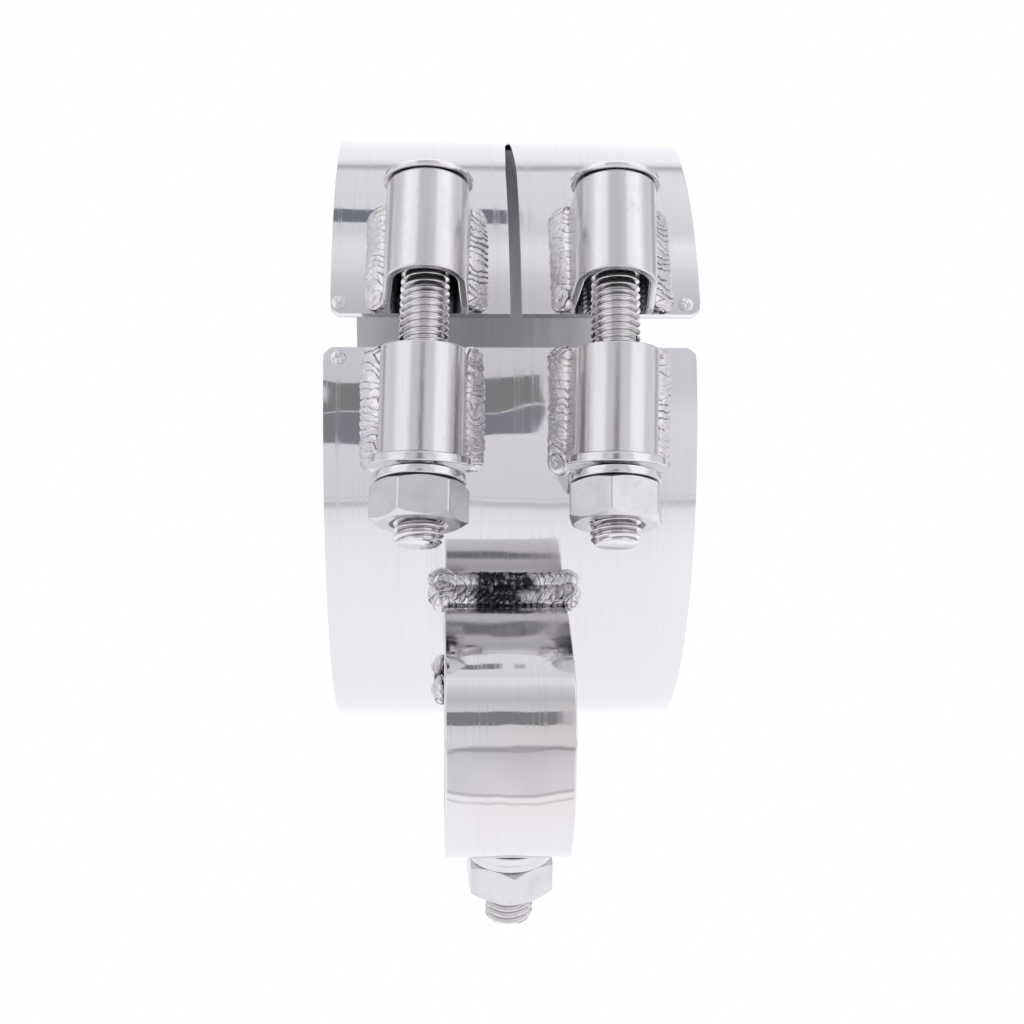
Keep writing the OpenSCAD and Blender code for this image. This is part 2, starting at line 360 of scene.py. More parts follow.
washerSizes = {
    "radius": 10 * mm,
    "hole": 5.5 * mm,
    "thick": 1.8 * mm,
    "chamfer": 0.3 * mm,
    "springRadius": 9.05 * mm,
    "springHole": 5.3 * mm,
    "springThick": 2.2 * mm,
    "springSplit": 1.6 * mm,
    "springRise": 0.06 * mm,
    "springSet": 0.42 * mm,     # how far its top face lies under the CAD ring's
    "springChamfer": 0.28 * mm,
}

loopSizes = {
    "radius": 25 * mm,
    "wall": 2.8 * mm,
    "width": 25 * mm,
    "x": -1.5 * mm,
    "angle": -40,
    "boltLean": 19,
    "boltX": -0.3 * mm,
    "edgeRound": 0.35 * mm,
}

seat = 0.02 * mm   # between faces that rest on each other


# The middle of the gap on a bolt's line, with +Z up the bolt and -Y outwards
def atBolt(side):
    sideways = boltSizes["offset"] + side * boltSizes["spacing"] / 2
    return turnX(-gapMiddle) @ shift(sideways, -boltLine, 0) @ turnY(boltSizes["lean"])


lowerTurn = gapMiddle - saddleSizes["lowerTilt"]
upperTurn = saddleSizes["upperTilt"] - gapMiddle


def atUpperSaddle(side):
    crest = shift(0, -saddleSizes["radius"], boltSizes["headSeat"] - seat)
    return atBolt(side) @ crest @ turnX(-upperTurn) @ shift(0, saddleSizes["radius"], -saddleSizes["length"])


def atWasher(side):
    return atBolt(side) @ shift(0, 0, -boltSizes["washerDrop"]) @ turnX(lowerTurn)


def atLowerSaddle(side):
    return atWasher(side) @ shift(0, 0, washerSizes["thick"] / 2 + seat)


springTop = (boltSizes["washerDrop"] + washerSizes["thick"] / 2 / cos(radians(lowerTurn))
             + washerSizes["springRadius"] * tan(radians(lowerTurn)) + seat)
nutTop = springTop + washerSizes["springThick"] + seat

loopCentreRadius = bandRadius + loopSizes["radius"] + seat
loopY = -loopCentreRadius * cos(radians(loopSizes["angle"]))
loopZ = loopCentreRadius * sin(radians(loopSizes["angle"]))


# The middle of the loop on its bolt's line, with -Z out along the bolt
def atLoopBolt():
    return shift(loopSizes["boltX"], loopY, loopZ) @ turnX(loopSizes["boltLean"])


def onBand(x, radius, degrees):
    return Vector((x, -radius * cos(radians(degrees)), radius * sin(radians(degrees))))


def handIn(piece, body, material, slot, *nodes):
    piece.data.materials.clear()
    piece.data.materials.append(material)
    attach(piece, body)
    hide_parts(*nodes)


# Materials

steelLook = {
    "bright": (0.76, 0.752, 0.765),
    "dullWearAndReflection": (0.66, 0.655, 0.665),
    "warm": (0.74, 0.705, 0.665),
    "heated": (0.58, 0.56, 0.555),
    # the grey of a painted reflection low on the loop strap
    "reflectionGrey": (0.42, 0.41, 0.425),
    "inside": (0.52, 0.515, 0.53),
    "knock": (0.52, 0.51, 0.52),
    # the dark of painted shade in thread roots and other hollows
    "threadRootShade": (0.14, 0.13, 0.135),
    # the dark of painted shade in crevices and under parts, and of painted reflection lines on the loop strap
    "paintedShade": (0.10, 0.095, 0.10),
}

# In metres; a pair is where a mark begins to fade in and where it is full
strapMarks = {
    "heat": (-0.046, -0.035),       # along Z
    "heatRagged": 0.006,
    "front": (-0.0900, -0.0925),    # along Y
    "outerFace": (0.0229, 0.0233),  # from the loop's middle
    "sideways": (0.0123, 0.0118),   # from the strap's middle line
    # where the painted reflection lies on the strap's front, and the painted dark line under it
    "reflectionTop": (-0.0588, -0.0602),
    "reflectionBottom": (-0.0696, -0.0684),
    "bow": 0.0004,                  # of both, 10 mm from the middle line
    "wander": 0.0026,
    "lineUnder": -0.0706,
    "lineHalf": 0.0005,
}


# How open a spot is: 1 in the open, 0 deep in a crevice
def openness(graph, reach):
    inputs = {"Distance": reach, "Color": (1.0, 1.0, 1.0)}
    return graph.add("ShaderNodeAmbientOcclusion", {"samples": 6}, inputs, "AO")


# Heat tint near the weld, and a painted reflection low on the strap's front: a grey zone with painted dark
# lines round and under it
def markStrap(graph, colour, roughness, coarse, patches):
    marks = strapMarks
    heat = (graph.axis("Z") + (coarse - 0.5) * marks["heatRagged"]).step(*marks["heat"])
    colour = graph.mix(heat * 0.6, colour, steelLook["heated"])
    sideways = graph.axis("X") - loopSizes["x"]
    front = (graph.axis("Y").step(*marks["front"]) * aroundX(graph, loopY, loopZ).step(*marks["outerFace"])
             * abs(sideways).step(*marks["sideways"]))
    share = sideways / (10 * mm)
    low = graph.axis("Z") + (graph.noise(90.0, 2.0) - 0.5) * marks["wander"]
    above = low + share * share * marks["bow"]
    under = low - share * share * share * share * marks["bow"]
    # painted reflection: a grey zone across the strap's front, with painted dark lines at its edges and under
    # it
    dullWearAndReflection = above.step(*marks["reflectionTop"]) * under.step(*marks["reflectionBottom"])
    rim = dullWearAndReflection * (1 - dullWearAndReflection) * 4
    line = abs(under - marks["lineUnder"]).step(marks["lineHalf"], 0.0)
    cloudy = patches.step(0.40, 0.62) * 0.35 + 0.65
    colour = graph.mix(dullWearAndReflection * cloudy * front * 0.62, colour, steelLook["reflectionGrey"])
    colour = graph.mix((rim * 0.38 + line * 0.28) * front, colour, steelLook["paintedShade"])
    return colour, roughness + heat * 0.10


# Polished sheet: fine lines along the grain, faint waves from rolling, a trace of warm tint
def polishedSteel(name, grain, look, insideRadius=0, marked=False):
    material, graph = newMaterial(name)
    fine = graph.noise(1.0, 2.0, graph.stretched(grain), 0.6)
    coarse = graph.noise(1.0, 3.0, graph.stretched(tuple(s * 0.28 for s in grain)))
    patches = graph.noise(38.0, 3.0)
    lines = fine.step(0.50, 0.72) * 0.7 + coarse.step(0.48, 0.70) * 0.5
    worn = lines * (patches.step(0.35, 0.62) * 0.75 + 0.25)
    colour = graph.mix(worn * look["lineShade"], look["shade"], steelLook["dullWearAndReflection"])
    colour = graph.mix(graph.noise(24.0, 2.0).step(0.50, 0.75) * look["tint"], colour, steelLook["warm"])
    # painted shade: darker in crevices and where other parts come close, by ambient occlusion
    colour = graph.mix(openness(graph, 1.6 * mm).step(0.50, 0.10) * 0.55, colour, steelLook["paintedShade"])
    roughness = look["roughness"] + worn * look["lineRoughness"]
    if marked:
        colour, roughness = markStrap(graph, colour, roughness, coarse, patches)
    if insideRadius:
        # the inner face was left dull
        inner = aroundX(graph).step(insideRadius + 0.6 * mm, insideRadius + 0.2 * mm)
        roughness = roughness + inner * 0.26
        colour = graph.mix(inner, colour, steelLook["inside"])
    # height in metres: rolling waves, then the lines
    waves = graph.noise(look["waveScale"], 1.5) * look["waves"]
    if look.get("gapWaves"):
        # the ends of the band were pulled out of true by the welding
        nearGap = abs(graph.axis("Z") - 10 * mm).step(34 * mm, 4 * mm)
        nearGap = nearGap * graph.axis("Y").step(-20 * mm, -50 * mm)
        waves = waves + graph.noise(44.0, 1.0) * nearGap * look["gapWaves"]
    relief = waves + (fine + coarse) * look["lineDepth"]
    finishMetal(graph, colour, roughness, bump(graph, relief, 1.0))
    return material


bandLook = {
    "shade": steelLook["bright"],
    "roughness": 0.045,
    "lineRoughness": 0.16,
    "lineShade": 0.35,
    "tint": 0.25,
    "waveScale": 48.0,
    "waves": 0.24 * mm,
    "gapWaves": 0.9 * mm,
    "lineDepth": 0.0003 * mm,
}
saddleLook = {
    "shade": (0.71, 0.70, 0.71),
    "roughness": 0.20,
    "lineRoughness": 0.14,
    "lineShade": 0.9,
    "tint": 0.4,
    "waveScale": 90.0,
    "waves": 0.04 * mm,
    "lineDepth": 0.008 * mm,
}
loopLook = {
    "shade": (0.77, 0.765, 0.775),
    "roughness": 0.05,
    "lineRoughness": 0.12,
    "lineShade": 0.4,
    "tint": 0.6,
    "waveScale": 70.0,
    "waves": 0.42 * mm,
    "lineDepth": 0.0003 * mm,
}
bandSteel = polishedSteel("polishedBandSteel", (2600, 30, 30), bandLook, insideRadius=bandSizes["boreRadius"])
saddleSteel = polishedSteel("satinSaddleSteel", (1700, 1700, 40), saddleLook)
loopSteel = polishedSteel("polishedLoopSteel", (1700, 40, 40), loopLook, marked=True)


weldLook = {
    "bright": (0.76, 0.75, 0.76),
    "frosted": (0.58, 0.57, 0.58),
    "tinted": (0.66, 0.61, 0.58),
    "valleyShade": (0.12, 0.115, 0.12),
    "burnt": (0.028, 0.028, 0.04),
    "burntFrom": (-0.0095, -0.0055),    # along X, in metres
    "burntTo": (0.0060, 0.0010),
    "burntRagged": 0.022,
}


# Weld metal: bright crests, painted shade in the valleys and sheltered spots, fine frosting, with burnt oxide
# where asked for
def weldSteel(name, burnt=False):
    look = weldLook
    material, graph = newMaterial(name)
    crest = graph.add("ShaderNodeNewGeometry", None, None, "Pointiness")
    # painted shade: darker where the surface is hollow, by pointiness, and where it is sheltered, by ambient
    # occlusion
    valleyShade = crest.step(0.50, 0.43)
    shelter = openness(graph, 1.4 * mm).step(0.75, 0.30)
    speckle = graph.noise(1400.0, 3.0)
    patches = graph.noise(260.0, 3.0)
    colour = graph.mix(speckle.step(0.45, 0.70) * 0.5, look["bright"], look["frosted"])
    colour = graph.mix(patches.step(0.5, 0.72) * 0.35, colour, look["tinted"])
    colour = graph.mix(valleyShade * 0.85, colour, look["valleyShade"])
    colour = graph.mix(shelter * 0.65, colour, steelLook["paintedShade"])
    roughness = 0.17 + speckle * 0.20
    relief = speckle * 0.5 + patches
    if burnt:
        ragged = graph.axis("X") + (graph.noise(260.0, 4.0) - 0.5) * look["burntRagged"]
        grit = graph.noise(700.0, 5.0, roughness=0.7)
        oxide = ragged.step(*look["burntFrom"]) * ragged.step(*look["burntTo"])
        oxide = oxide * (1 - grit.step(0.51, 0.62) * 0.45) * (1 - crest.step(0.53, 0.60) * 0.4)
        colour = graph.mix(oxide, colour, look["burnt"])
        roughness = roughness + oxide * 0.12
        relief = relief + oxide * grit * 3
    finishMetal(graph, colour, roughness, bump(graph, relief, 0.05 * mm))
    return material


beadSteel = weldSteel("weldBeadSteel")
burntBeadSteel = weldSteel("burntWeldSteel", burnt=True)


# Hardware: bright, barrel tumbled, with soft mottling and small knocks
def hardwareSteel(name, look):
    material, graph = newMaterial(name)
    shade = look["shade"]
    mottle = graph.noise(look["fineScale"], 3.0)
    broad = graph.noise(210.0, 3.0)
    crest = graph.add("ShaderNodeNewGeometry", None, None, "Pointiness")
    colour = graph.mix(broad.step(0.42, 0.70) * 0.6, shade, tuple(s * 0.86 for s in shade))
    colour = graph.mix(mottle.step(0.58, 0.76) * look["knocks"] * 0.4, colour, steelLook["knock"])
    # painted shade: darker where sheltered, by ambient occlusion, and in thread roots and other hollows, by
    # pointiness
    shelter = openness(graph, look["reach"]).step(0.50, 0.10)
    colour = graph.mix(shelter * look["paintedShade"], colour, steelLook["paintedShade"])
    colour = graph.mix(crest.step(0.495, 0.44) * look["rootShade"], colour, steelLook["threadRootShade"])
    rough = look["roughness"] + mottle.step(0.45, 0.75) * 0.12 * look["knocks"] + broad * 0.06
    finishMetal(graph, colour, rough, bump(graph, mottle * 0.4 + broad, 0.03 * mm))
    return material


boltLook = {
    "shade": (0.76, 0.75, 0.75),
    "roughness": 0.10,
    "knocks": 0.4,
    "fineScale": 900.0,
    "reach": 1.0 * mm,
    "paintedShade": 0.35,
    "rootShade": 0.8,
}
washerLook = {
    "shade": (0.75, 0.745, 0.75),
    "roughness": 0.13,
    "knocks": 0.6,
    "fineScale": 900.0,
    "reach": 1.0 * mm,
    "paintedShade": 0.45,
    "rootShade": 0.2,
}
nutLook = {
    "shade": (0.69, 0.685, 0.69),
    "roughness": 0.26,
    "knocks": 1.0,
    "fineScale": 1200.0,
    "reach": 1.2 * mm,
    "paintedShade": 0.45,
    "rootShade": 0.0,
}
boltSteel = hardwareSteel("brightThreadSteel", boltLook)
washerSteel = hardwareSteel("stampedWasherSteel", washerLook)
nutSteel = hardwareSteel("satinNutSteel", nutLook)
print("materials made")


# The band: a flat strip, slotted and rounded, then rolled

def makeBand():
    sizes = bandSizes
    turn = 360 - (sizes["highEnd"] - sizes["lowEnd"])
    length = radians(turn) * bandRadius
    perDegree = length / turn
    top = length / 2        # the upper end, at the gap
    taperAt = top - (sizes["slotTaper"] - sizes["highEnd"]) * perDegree
    tipAt = top - (sizes["slotTip"] - sizes["highEnd"]) * perDegree
    half, reach = sizes["slotWidth"] / 2, sizes["cutReach"]

    deselectAll()
    bpy.ops.mesh.primitive_grid_add(x_subdivisions=10, y_subdivisions=sizes["cells"], size=1)
    band = nameNew("rolledBand")
    place(band, turnX(90) @ Matrix.Diagonal((sizes["width"], length, 1, 1)))

    openMesh(band)
    # the slot: two straight cuts, then two slanted ones that meet in a point
    for side in (left, right):
        pick(band, "faces", lambda at, f: at.z > taperAt - 2 * mm and abs(at.x) < reach)
        bpy.ops.mesh.bisect(plane_co=(side * half, 0, 0), plane_no=(1, 0, 0))
    pick(band, "faces", lambda at, f: abs(at.x) < reach and abs(at.z - taperAt) < 4 * mm)
    bpy.ops.mesh.bisect(plane_co=(0, 0, taperAt), plane_no=(0, 0, 1))
    for side in (left, right):
        along = Vector((-side * half, 0, tipAt - taperAt))
        pick(band, "faces", lambda at, f: abs(at.x) < reach and tipAt - 1.5 * mm < at.z < taperAt)
        across = Vector((along.z, 0, -along.x)).normalized()
        bpy.ops.mesh.bisect(plane_co=(side * half, 0, taperAt), plane_no=across, threshold=mergeDistance)

    def inSlot(at, face):
        if at.z < tipAt:
            return False
        spread = half if at.z > taperAt else half * (at.z - tipAt) / (taperAt - tipAt)
        return abs(at.x) < spread
    pick(band, "faces", inSlot)
    bpy.ops.mesh.delete(type="FACE")

    # the four outer corners, each cut back along its arc
    r = sizes["cornerRadius"]
    for side in (left, right):
        for end in (-1, 1):
            centre = Vector((side * (sizes["width"] / 2 - r), 0, end * (top - r)))
            for degrees in sizes["cornerCuts"]:
                out = Vector((side * cos(radians(degrees)), 0, end * sin(radians(degrees))))
                pick(band, "faces", lambda at, f: (at - centre).length < reach)
                bpy.ops.mesh.bisect(plane_co=centre + out * r, plane_no=out, clear_outer=True)
    cleanMesh()

    # the wall grows towards +Y, the inside of the roll
    facing = sum((f.normal.y for f in band.data.polygons)) > 0
    modify(band, "SOLIDIFY", thickness=sizes["wall"], offset=1 if facing else -1, use_even_offset=False)
    roundEdges(band, sizes["edgeRound"])
    skew = sizes["stagger"] / length
    place(band, Matrix.Rotation(-skew, 4, "Y") @ turnY(180))
    tall = max(v.co.z for v in band.data.vertices) - min(v.co.z for v in band.data.vertices)
    modify(band, "SIMPLE_DEFORM", deform_method="BEND", deform_axis="X", angle=radians(turn) * tall / length)
    place(band, turnX(180 - gapMiddle) @ shift(0, -bandRadius, 0))
    shadeSmooth(band)
    return band


band = makeBand()
handIn(band, "clamp", bandSteel, "band_steel", "band")
print("band rolled")


# Saddles: a strip bent over a bar, with its feet cut to the band

def makeSaddle():
    sizes = saddleSizes
    r, wall, long = sizes["radius"], sizes["wall"], sizes["length"]
    splay = radians(sizes["splay"])
    deselectAll()
    bpy.ops.mesh.primitive_plane_add(size=1)
    saddle = nameNew("saddle")
    # the end of the arch on the +X side, where the leg leaves it
    place(saddle, turnZ(-sizes["splay"]) @ shift(r - wall / 2, 0, long / 2)
          @ turnX(90) @ Matrix.Diagonal((wall, long, 1, 1)))
    openMesh(saddle)
    bpy.ops.mesh.spin(steps=sizes["archSteps"], angle=pi - 2 * splay, center=(0, 0, 0), axis=(0, 0, 1))
    for side in (left, right):
        along = Vector((side * sin(splay), cos(splay), 0))
        pick(saddle, "faces", lambda at, f: at.x * side > 0 and abs(f.normal.dot(along)) > 0.999
             and at.y > -r * sin(splay) - 0.01 * mm)
        bpy.ops.mesh.extrude_region_move(TRANSFORM_OT_translate={"value": along * sizes["legLength"]})
    cleanMesh()
    return saddle


saddlePattern = makeSaddle()
roundEdges(saddlePattern, saddleSizes["edgeRound"])
for side, sideName in sides:
    for level, where in (("upper", atUpperSaddle), ("lower", atLowerSaddle)):
        saddle = duplicate(saddlePattern, f"{level}Saddle_{sideName}")
        place(saddle, where(side))
        combine(saddle, cutTool("bandCutter", 360, bandRadius, saddleSizes["cutter"], turnY(90)))
        shadeSmooth(saddle)
        handIn(saddle, "clamp", saddleSteel, "saddle_steel", f"saddle_{level}_{sideName}")
bpy.data.objects.remove(saddlePattern)
print("saddles bent and fitted")


# Bolts

threadSizes = {
    "pitch": 1.5 * mm,
    "crest": 4.95 * mm,
    "root": 4.08 * mm,
    "crestRound": 0.12 * mm,
    "tipChamfer": 1.0 * mm,
    "stopsAt": -4 * mm,     # under the head
    "steps": 40,
}
headSizes = {
    "radius": 9.2 * mm,
    "rim": 1.0 * mm,
    "height": 3.8 * mm,
    "socketFlats": 6 * mm,
    "socketDepth": 2.4 * mm,
    "socketRound": 0.12 * mm,
    "edge": 0.25 * mm,      # cut off its lower edge
    "neck": -3.4 * mm,      # the plain shank's end, inside the thread
    "domeSteps": 14,
}


# A closed screw surface from z = low to z = high, one turn longer than that at each end
def makeThread(low, high):
    pitch, crest, root = threadSizes["pitch"], threadSizes["crest"], threadSizes["root"]
    flank = crest - threadSizes["crestRound"]
    tooth = [(root, 0), (root, 0.14), (flank, 0.40), (crest, 0.47), (crest, 0.57), (flank, 0.64),
             (root, 0.90), (root, 1)]
    thread = drawLine("thread", [(r, 0, low + share * pitch) for r, share in tooth])
    turns = round((high - low) / pitch)
    modify(thread, "SCREW", angle=2 * pi, screw_offset=pitch, iterations=turns, axis="Z",
           steps=threadSizes["steps"], render_steps=threadSizes["steps"],
           use_merge_vertices=True, merge_threshold=mergeDistance)
    openMesh(thread)
    bpy.ops.mesh.remove_doubles(threshold=mergeDistance)
    pickOpenEdges()
    bpy.ops.mesh.extrude_region_move(TRANSFORM_OT_translate={"value": (0, 0, 0)})
    bpy.ops.mesh.merge(type="COLLAPSE")
    cleanMesh(merge=False)
    return thread


# A round head bolt whose head stands on z = 0 and whose thread runs down
def makeBolt(name, length):
    crest, root, chamfer = threadSizes["crest"], threadSizes["root"], threadSizes["tipChamfer"]
    radius, rim, height = headSizes["radius"], headSizes["rim"], headSizes["height"]
    edge, neck, steps = headSizes["edge"], headSizes["neck"], headSizes["domeSteps"]
    thread = makeThread(-length - 2 * mm, -threadSizes["pitch"])
    outside, stop = crest + 0.03 * mm, threadSizes["stopsAt"]
    envelope = lathe("envelope", [(0, -length), (outside - chamfer, -length), (outside, -length + chamfer),
                                  (outside, stop), (root, stop + 1 * mm), (0, stop + 1 * mm)], 64)
    combine(thread, envelope, "INTERSECT")
    rise = height - rim
    domeRadius = (radius ** 2 + rise ** 2) / (2 * rise)
    dome = [(0, height)]
    for step in range(1, steps):
        out = radius * step / steps
        dome.append((out, height - domeRadius + sqrt(domeRadius ** 2 - out ** 2)))
    shank = crest - 0.05 * mm
    head = lathe("head", [(0, neck), (root + 0.3 * mm, neck), (shank, neck + 0.5 * mm), (shank, seat),
                          (radius - edge, seat), (radius, edge), (radius, rim - 0.1 * mm),
                          (radius - 0.12 * mm, rim)] + dome[::-1], 128)
    combine(head, cutTool("socket", 6, headSizes["socketFlats"] / 2 / cos(pi / 6),
                          headSizes["socketDepth"] * 2, shift(0, 0, height)))
    roundEdges(head, headSizes["socketRound"], 2, 40)
    shadeSmooth(head, 35)
    shadeSmooth(thread)
    return joinAll([head, thread], name)


clampBolt = makeBolt("clampBolt_left", 75 * mm)
clampBoltRight = duplicate(clampBolt, "clampBolt_right")
for bolt, side, sideName in ((clampBolt, left, "left"), (clampBoltRight, right, "right")):
    place(bolt, atBolt(side) @ shift(0, 0, boltSizes["headSeat"]) @ turnZ(25 + 40 * side))
    handIn(bolt, "clamp", boltSteel, "bolt_steel", f"bolt_{sideName}")

loopHole = loopSizes["radius"] - loopSizes["wall"]
loopHeadSeat = sqrt(loopHole ** 2 - headSizes["radius"] ** 2) - seat
hangerBolt = makeBolt("hangerBolt", 25 * mm)
place(hangerBolt, atLoopBolt() @ shift(0, 0, -loopHeadSeat) @ turnZ(12))
handIn(hangerBolt, "clamp", boltSteel, "bolt_steel", "hanger_bolt")
print("bolts turned")


# Washers and nuts

def makeFlatWasher(name):
    r, hole, half = washerSizes["radius"], washerSizes["hole"], washerSizes["thick"] / 2
    c = washerSizes["chamfer"]
    ring = [(hole, -half + c), (hole + c, -half), (r - c, -half), (r - c * 0.3, -half + c * 0.3),
            (r, -half + c), (r, half - c), (r - c * 0.3, half - c * 0.3), (r - c, half), (hole + c, half),
            (hole, half - c)]
    washer = lathe(name, ring, 120)
    shadeSmooth(washer, 60)
    return washer


# A split spring ring, pressed almost flat on its nut, with z = 0 at the CAD ring's top face
def makeSpringWasher(name):
    r, hole, thick = washerSizes["springRadius"], washerSizes["springHole"], washerSizes["springThick"]
    rise, c = washerSizes["springRise"], washerSizes["springChamfer"]
    high, low = -washerSizes["springSet"], -thick
    section = [(hole, 0, low + c), (hole + c, 0, low), (r - c, 0, low), (r, 0, low + c),
               (r, 0, high - c), (r - c, 0, high), (hole + c, 0, high), (hole, 0, high - c)]
    washer = drawLine(name, section, closed=True)
    split = washerSizes["springSplit"] / washerSizes["springRadius"] * 1.2
    modify(washer, "SCREW", angle=2 * pi - split, screw_offset=rise, iterations=1, axis="Z",
           steps=110, render_steps=110, use_merge_vertices=False)
    openMesh(washer)
    pickOpenEdges()
    bpy.ops.mesh.edge_face_add()
    cleanMesh(merge=False)
    shadeSmooth(washer)
    return washer


nutSizes = {
    "flats": 17 * mm,
    "height": 8 * mm,
    "hole": 5.03 * mm,
    "countersink": 5.75 * mm,
    "faceShare": 0.95,      # of the flats, for the round face inside the chamfer
    "chamferAngle": 30,
    "edgeRound": 0.4 * mm,
}


# A hexagon nut whose top face lies on z = 0
def makeNut(name):
    h, hole, sink = nutSizes["height"], nutSizes["hole"], nutSizes["countersink"]
    corner = nutSizes["flats"] / 2 / cos(pi / 6)
    face = nutSizes["flats"] / 2 * nutSizes["faceShare"]
    outer = corner + 0.3 * mm
    cone = (outer - face) * tan(radians(nutSizes["chamferAngle"]))
    blank = lathe(name, [(sink, 0), (face, 0), (outer, -cone), (outer, -h + cone), (face, -h), (sink, -h),
                         (hole, -h + (sink - hole)), (hole, -(sink - hole))], 96)
    prism = cutTool("prism", 6, corner, h + 2 * mm, turnZ(30) @ shift(0, 0, -h / 2))
    roundEdges(prism, nutSizes["edgeRound"], 3, 25)
    combine(blank, prism, "INTERSECT")
    shadeSmooth(blank, 28)
    return blank


# A flat washer, a spring washer and a nut on one bolt, each at its own place
def addFasteners(label, nodes, places):
    kinds = ((makeFlatWasher, f"flatWasher_{label}", f"washers_{label}", washerSteel, "washer_steel"),
             (makeSpringWasher, f"springWasher_{label}", f"washers_{label}", washerSteel, "washer_steel"),
             (makeNut, f"nut_{label}_hex", f"nut_{label}", nutSteel, "nut_steel"))
    for (make, name, body, steel, slot), node, at in zip(kinds, nodes, places):
        piece = make(name)
        place(piece, at)
        handIn(piece, body, steel, slot, node)


nutTurns = {"left": 6, "right": 19, "hanger": 34}       # as they stand in the photo
for side, sideName in sides:
    addFasteners(sideName, (f"flat_washer_{sideName}", f"spring_washer_{sideName}", f"nut_{sideName}"),
                 (atWasher(side), atBolt(side) @ shift(0, 0, -springTop) @ turnZ(130),
                  atBolt(side) @ shift(0, 0, -nutTop) @ turnZ(nutTurns[sideName])))

loopWasher = loopSizes["radius"] + seat + washerSizes["thick"] / 2
loopSpringTop = loopSizes["radius"] + washerSizes["thick"] + 2 * seat
loopNutTop = loopSpringTop + washerSizes["springThick"] + seat
addFasteners("hanger", ("hanger_flat_washer", "hanger_spring_washer", "hanger_nut"),
             (atLoopBolt() @ shift(0, 0, -loopWasher), atLoopBolt() @ shift(0, 0, -loopSpringTop) @ turnZ(40),
              atLoopBolt() @ shift(0, 0, -loopNutTop) @ turnZ(nutTurns["hanger"])))
print("washers and nuts made")


# The hanger loop

# The strap isn't quite round: it's flatter, or fuller, at each (angle, reach, depth)
strapFlats = ((66, 52, 3.0 * mm), (-14, 20, 0.5 * mm), (-70, 32, -1.1 * mm))


def strapRadius(degrees):
    r = loopSizes["radius"]
    for middle, reach, depth in strapFlats:
        off = abs(degrees - middle) / reach
        if off < 1:
            r -= depth * (1 + cos(pi * off)) / 2
    return r


def makeLoop():
    sizes = loopSizes
    rim = [onBand(-sizes["width"] / 2, strapRadius(a), a) for a in range(-180, 180, 2)]
    loop = drawLine("hangerLoop", rim, closed=True)
    openMesh(loop)
    bpy.ops.mesh.delete(type="ONLY_FACE")
    bpy.ops.mesh.select_all(action="SELECT")
    bpy.ops.mesh.extrude_region_move(TRANSFORM_OT_translate={"value": (sizes["width"], 0, 0)})
    cleanMesh(merge=False)
    outward = sum(f.normal.dot(f.center.normalized()) for f in loop.data.polygons) > 0
    modify(loop, "SOLIDIFY", thickness=sizes["wall"], offset=-1 if outward else 1)
    roundEdges(loop, sizes["edgeRound"])
    place(loop, shift(sizes["x"], loopY, loopZ))
    combine(loop, cutTool("drill", 64, washerSizes["hole"], sizes["radius"],
                          atLoopBolt() @ shift(0, 0, -sizes["radius"])))
    shadeSmooth(loop)
    return loop


loop = makeLoop()
handIn(loop, "clamp", loopSteel, "loop_steel", "hanger_loop")
print("loop made")


# Welds: overlapping discs of weld metal, melted into one skin

beadSizes = {
    "step": 0.9 * mm,
    "across": 3.2 * mm,
    "along": 2.2 * mm,
    "thick": 1.05 * mm,
    "off": 1.85 * mm,       # from the corner that it fills
    "core": (2.3 * mm, 1.7 * mm, 1.5 * mm),
    "coreOff": 0.9 * mm,
    "blob": (2.5, 2.4, 1.35),   # in mm, before its own share
    "blobOff": 1.75 * mm,
    "lean": 0.62,           # how far the face turns away from the band
    "overrun": 3.2 * mm,    # past the saddle's two ends together
    "gapInset": 2.0,        # in degrees on the band, for the last disc's own size
    "tipInset": 1.2,
    "voxel": 0.12 * mm,
    "roughness": 0.06 * mm,
    "ripple": 0.31 * mm,
}
rippleSizes = {
    "pool": 1.6 * mm,       # from one frozen ripple to the next
    "arch": 150,            # how far each ripple bows, per metre
    "groove": 0.80,         # where in a ripple its groove begins
    "grooveDepth": 2.6,
}


def makeDisc():
    deselectAll()
    bpy.ops.mesh.primitive_uv_sphere_add(segments=20, ring_count=12, radius=1)
    return nameNew("disc")


discPattern = makeDisc()


# One disc: across and along the seam, and thin the way it faces
def layDisc(middle, along, facing, size):
    facing = (facing - along * facing.dot(along)).normalized()
    across = along.cross(facing)
    turned = Matrix((across, along, facing)).transposed().to_4x4()
    disc = discPattern.copy()
    disc.data = discPattern.data.copy()
    bpy.context.scene.collection.objects.link(disc)
    place(disc, Matrix.Translation(middle) @ turned @ Matrix.Diagonal((*size, 1)))
    return disc


# Frozen pools: each ripple is a step with a groove before it, and rings lie round the last one
def ripple(bead, seam, end, depth):
    bend, groove = rippleSizes["arch"], rippleSizes["groove"]
    spots = [(vertex.co.copy(), vertex.normal.copy()) for vertex in bead.data.vertices]
    moved = []
    for spot, out in spots:
        along, across = seam(spot)
        ahead = end - along
        if ahead > 0.5 / bend:
            pool = along - bend * across ** 2
        else:
            pool = end - sqrt(ahead ** 2 + across ** 2)
        wander = noise.noise(spot * 260) * 0.95 + noise.noise(spot * 900) * 0.22
        share = pool / rippleSizes["pool"] + wander
        share -= floor(share)
        high = 0.5 - share - max(0, share - groove) * rippleSizes["grooveDepth"]
        moved.extend(spot + out * depth * high * (0.75 + 0.9 * noise.noise(spot * 170)))
    bead.data.vertices.foreach_set("co", moved)
    bead.data.update()


